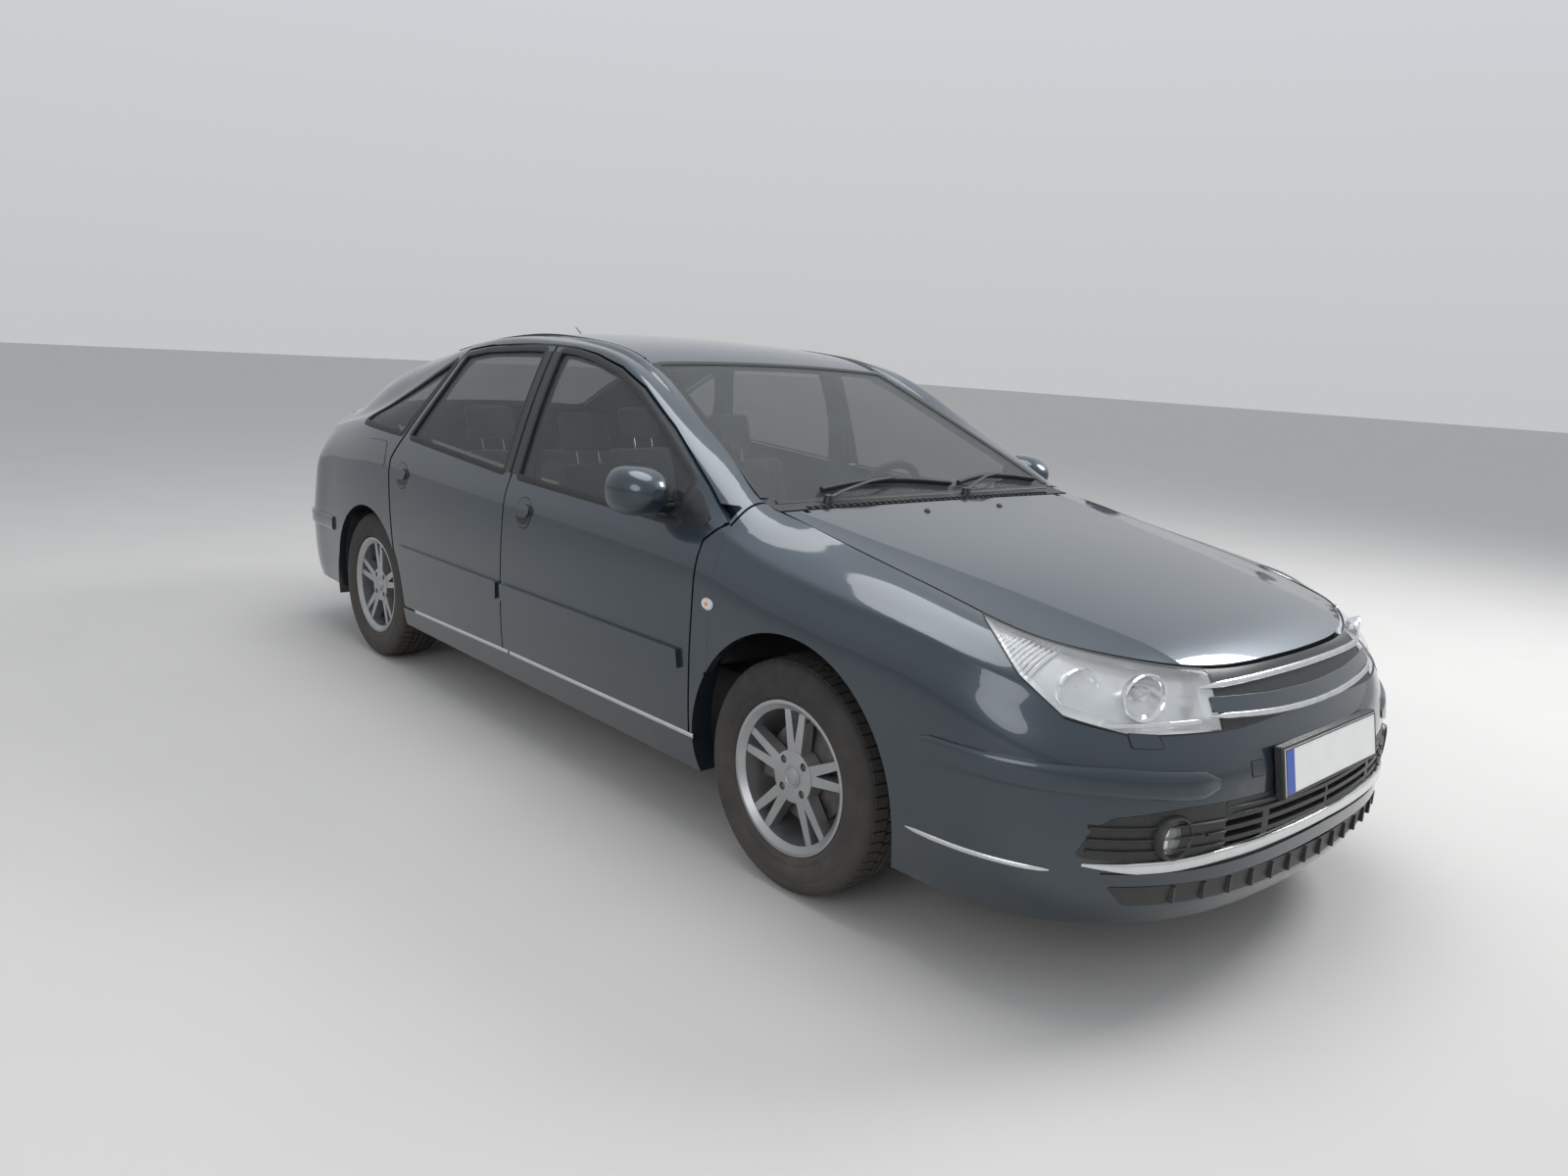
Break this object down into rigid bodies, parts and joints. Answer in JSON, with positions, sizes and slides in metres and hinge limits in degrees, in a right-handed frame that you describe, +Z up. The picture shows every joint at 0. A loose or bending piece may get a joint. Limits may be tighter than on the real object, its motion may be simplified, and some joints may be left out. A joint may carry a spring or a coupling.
{
  "type": "five-door fastback saloon car",
  "caption": "Full-size family car with opening doors, bonnet and tailgate, steered front wheels, hollow cabin with seats, glass and running gear.",
  "frame": {"origin": "on the ground below the middle of the car's length and width", "axes": "+X to the front of the car, +Y to its left, +Z up"},
  "size_m": [4.7499, 2.033, 1.467],
  "materials": {
    "paint": "blue-grey metallic paint",
    "glass": "tinted glass",
    "lamp": "clear lamp cover",
    "tail_lamp": "red lamp cover",
    "black_plastic": "black textured plastic",
    "tyre": "black rubber",
    "alloy": "grey painted alloy",
    "chassis": "black chassis paint",
    "engine": "cast engine block",
    "steel": "exhaust steel",
    "trim": "dark cabin trim",
    "cloth": "dark grey seat cloth",
    "knuckle": "cast hub carrier"
  },
  "bodies": {
    "body": {"floor_pan": "chassis", "body_side_left": "paint", "body_side_right": "paint", "roof_panel": "paint", "windscreen": "glass", "front_wings": "paint", "front_bumper": "paint", "rear_bumper": "paint", "upper_grille": "black_plastic", "lower_grille": "black_plastic", "headlamps": "lamp", "tail_lamps": "tail_lamp", "quarter_glass": "glass", "bulkhead": "chassis", "cowl": "black_plastic", "front_subframe": "chassis", "rear_axle": "chassis", "engine_block": "engine", "exhaust": "steel", "dashboard": "trim", "front_seats": "cloth", "rear_seat": "cloth"},
    "bonnet": {"bonnet": "paint"},
    "tailgate": {"tailgate": "paint", "tailgate_glass": "glass"},
    "knuckle_left": {"front_knuckle_left": "knuckle"},
    "front_door_left": {"front_door_left": "paint", "front_door_glass_left": "glass", "door_mirror_left": "paint"},
    "rear_door_left": {"rear_door_left": "paint", "rear_door_glass_left": "glass"},
    "front_wheel_left": {"front_tyre_left": "tyre", "front_rim_left": "alloy"},
    "rear_wheel_left": {"rear_tyre_left": "tyre", "rear_rim_left": "alloy"},
    "knuckle_right": {"front_knuckle_right": "knuckle"},
    "front_door_right": {"front_door_right": "paint", "front_door_glass_right": "glass", "door_mirror_right": "paint"},
    "rear_door_right": {"rear_door_right": "paint", "rear_door_glass_right": "glass"},
    "front_wheel_right": {"front_tyre_right": "tyre", "front_rim_right": "alloy"},
    "rear_wheel_right": {"rear_tyre_right": "tyre", "rear_rim_right": "alloy"}
  },
  "joints": [
    {"name": "steer_left", "type": "hinge", "parent": "body", "child": "knuckle_left", "pos_m": [1.34, 0.68, 0.215], "axis": [0, -0.1767, 0.9843], "range_deg": [-33, 33]},
    {"name": "front_wheel_left_spin", "type": "hinge", "parent": "knuckle_left", "child": "front_wheel_left", "pos_m": [1.34, 0.765, 0.321], "axis": [0, 1, 0], "continuous": true},
    {"name": "rear_wheel_left_spin", "type": "hinge", "parent": "body", "child": "rear_wheel_left", "pos_m": [-1.41, 0.75, 0.321], "axis": [0, 1, 0], "continuous": true},
    {"name": "front_door_left_hinge", "type": "hinge", "parent": "body", "child": "front_door_left", "pos_m": [0.905, 0.877, 0.6], "axis": [0, 0, -1], "range_deg": [0, 65]},
    {"name": "rear_door_left_hinge", "type": "hinge", "parent": "body", "child": "rear_door_left", "pos_m": [-0.212, 0.877, 0.6], "axis": [0, 0, -1], "range_deg": [0, 65]},
    {"name": "steer_right", "type": "hinge", "parent": "body", "child": "knuckle_right", "pos_m": [1.34, -0.68, 0.215], "axis": [0, 0.1767, 0.9843], "range_deg": [-33, 33]},
    {"name": "front_wheel_right_spin", "type": "hinge", "parent": "knuckle_right", "child": "front_wheel_right", "pos_m": [1.34, -0.765, 0.321], "axis": [0, 1, 0], "continuous": true},
    {"name": "rear_wheel_right_spin", "type": "hinge", "parent": "body", "child": "rear_wheel_right", "pos_m": [-1.41, -0.75, 0.321], "axis": [0, 1, 0], "continuous": true},
    {"name": "front_door_right_hinge", "type": "hinge", "parent": "body", "child": "front_door_right", "pos_m": [0.905, -0.877, 0.6], "axis": [0, 0, 1], "range_deg": [0, 65]},
    {"name": "rear_door_right_hinge", "type": "hinge", "parent": "body", "child": "rear_door_right", "pos_m": [-0.212, -0.877, 0.6], "axis": [0, 0, 1], "range_deg": [0, 65]},
    {"name": "bonnet_hinge", "type": "hinge", "parent": "body", "child": "bonnet", "pos_m": [1.094, 0, 0.97845], "axis": [0, -1, 0], "range_deg": [0, 55]},
    {"name": "tailgate_hinge", "type": "hinge", "parent": "body", "child": "tailgate", "pos_m": [-1.172, 0, 1.35948], "axis": [0, 1, 0], "range_deg": [0, 70]}
  ],
  "couplings": [
    {"joint": "steer_right", "follows": "steer_left", "ratio": 1}
  ]
}
